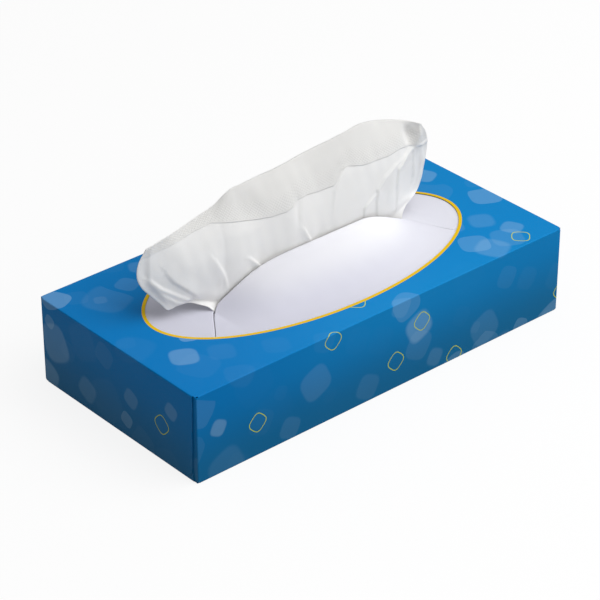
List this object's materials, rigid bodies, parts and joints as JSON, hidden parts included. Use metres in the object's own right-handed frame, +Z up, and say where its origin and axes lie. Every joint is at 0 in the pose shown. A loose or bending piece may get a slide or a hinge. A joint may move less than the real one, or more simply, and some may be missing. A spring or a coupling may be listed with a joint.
{
  "type": "tissue box",
  "caption": "Flat printed carton of facial tissues with an oval opening, a slit film and one tissue drawn up.",
  "frame": {"origin": "middle of the box's underside", "axes": "+X along the box, +Y across it towards the back, +Z up"},
  "size_m": [0.235, 0.117, 0.1044],
  "materials": {
    "printed_board": "satin",
    "film": "satin",
    "tissue_paper": "matte"
  },
  "bodies": {
    "root": {"carton": "printed_board", "slit_film": "film", "tissue_stack": "tissue_paper", "raised_tissue": "tissue_paper"}
  },
  "joints": []
}
